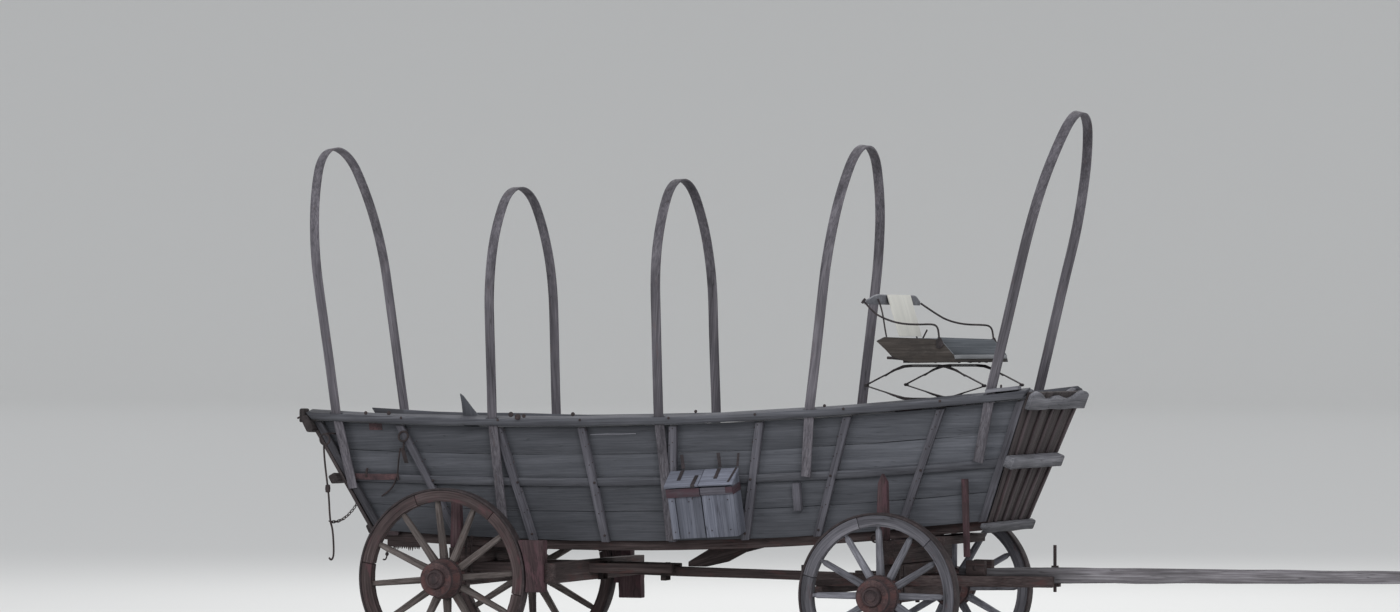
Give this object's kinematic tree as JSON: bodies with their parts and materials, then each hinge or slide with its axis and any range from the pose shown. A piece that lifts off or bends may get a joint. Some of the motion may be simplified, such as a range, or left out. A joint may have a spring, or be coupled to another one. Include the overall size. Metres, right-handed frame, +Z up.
{
  "type": "covered wagon",
  "caption": "Prairie wagon with a swaybacked plank bed, bare bows, spring seat, side toolbox, stiff tongue and dished wooden wheels.",
  "frame": {"origin": "on the ground, under the middle of the whole length and width", "axes": "+X forwards along the tongue, +Y to the wagon's left, +Z up"},
  "size_m": [8.8339, 2.01, 4.0331],
  "materials": {
    "grey_wood": "bare boards gone silver grey and brown in the weather",
    "gear_wood": "bare timber with traces of old red paint",
    "wheel_wood": "dry timber with traces of old red paint",
    "bow_wood": "bent strips, weathered brown",
    "rusty_iron": "dry brown rust",
    "seat_paint": "worn dark paint",
    "white_board": "off-white paint"
  },
  "bodies": {
    "bed": {"bed_floor": "grey_wood", "bolster_stakes": "gear_wood", "bolsters": "gear_wood", "bows": "bow_wood", "brake_beam": "gear_wood", "brake_blocks": "gear_wood", "floor_frame": "gear_wood", "front_cross_beam": "gear_wood", "front_end_battens": "gear_wood", "front_end_boards": "grey_wood", "front_end_rails": "grey_wood", "hanging_post": "gear_wood", "kingpin": "rusty_iron", "reach": "gear_wood", "reach_strut": "gear_wood", "rear_axle": "gear_wood", "rear_hounds": "gear_wood", "seat_arms": "rusty_iron", "seat_back_band": "seat_paint", "seat_back_board": "white_board", "seat_cleats": "grey_wood", "seat_pan": "seat_paint", "seat_plank": "grey_wood", "seat_saddles": "rusty_iron", "seat_springs": "rusty_iron", "side_boards": "grey_wood", "side_rails": "grey_wood", "side_stakes": "grey_wood", "toolbox": "grey_wood", "toolbox_band": "rusty_iron"},
    "front_gear": {"front_axle": "gear_wood", "sand_board": "gear_wood", "front_hounds": "gear_wood", "sway_bar": "gear_wood", "tongue": "gear_wood", "draw_pin": "rusty_iron"},
    "toolbox_lid": {"toolbox_lid": "grey_wood"},
    "tail_gate": {"tail_gate_boards": "grey_wood", "tail_gate_rails": "grey_wood"},
    "front_left_wheel": {"front_left_wheel_hub": "wheel_wood", "front_left_wheel_spokes": "wheel_wood", "front_left_wheel_tyre": "rusty_iron"},
    "front_right_wheel": {"front_right_wheel_hub": "wheel_wood", "front_right_wheel_spokes": "wheel_wood", "front_right_wheel_tyre": "rusty_iron"},
    "rear_left_wheel": {"rear_left_wheel_hub": "wheel_wood", "rear_left_wheel_spokes": "wheel_wood", "rear_left_wheel_tyre": "rusty_iron"},
    "rear_right_wheel": {"rear_right_wheel_hub": "wheel_wood", "rear_right_wheel_spokes": "wheel_wood", "rear_right_wheel_tyre": "rusty_iron"}
  },
  "joints": [
    {"name": "steering", "type": "hinge", "parent": "bed", "child": "front_gear", "pos_m": [0.255, 0, 0.7], "axis": [0, 0, 1], "range_deg": [-25, 25]},
    {"name": "rear_left_wheel_spin", "type": "hinge", "parent": "bed", "child": "rear_left_wheel", "pos_m": [-3.11, 0.79, 0.66], "axis": [0, 1, 0], "continuous": true},
    {"name": "rear_right_wheel_spin", "type": "hinge", "parent": "bed", "child": "rear_right_wheel", "pos_m": [-3.11, -0.79, 0.66], "axis": [0, 1, 0], "continuous": true},
    {"name": "front_left_wheel_spin", "type": "hinge", "parent": "front_gear", "child": "front_left_wheel", "pos_m": [0.255, 0.79, 0.59], "axis": [0, 1, 0], "continuous": true},
    {"name": "front_right_wheel_spin", "type": "hinge", "parent": "front_gear", "child": "front_right_wheel", "pos_m": [0.255, -0.79, 0.59], "axis": [0, 1, 0], "continuous": true},
    {"name": "toolbox_lid_hinge", "type": "hinge", "parent": "bed", "child": "toolbox_lid", "pos_m": [-1.18718, -0.52219, 1.47207], "axis": [-0.9981, 0.0122, -0.0598], "range_deg": [0, 100]},
    {"name": "tail_gate_hinge", "type": "hinge", "parent": "bed", "child": "tail_gate", "pos_m": [-3.866, 0, 0.972], "axis": [0, -1, 0], "range_deg": [0, 60]}
  ]
}
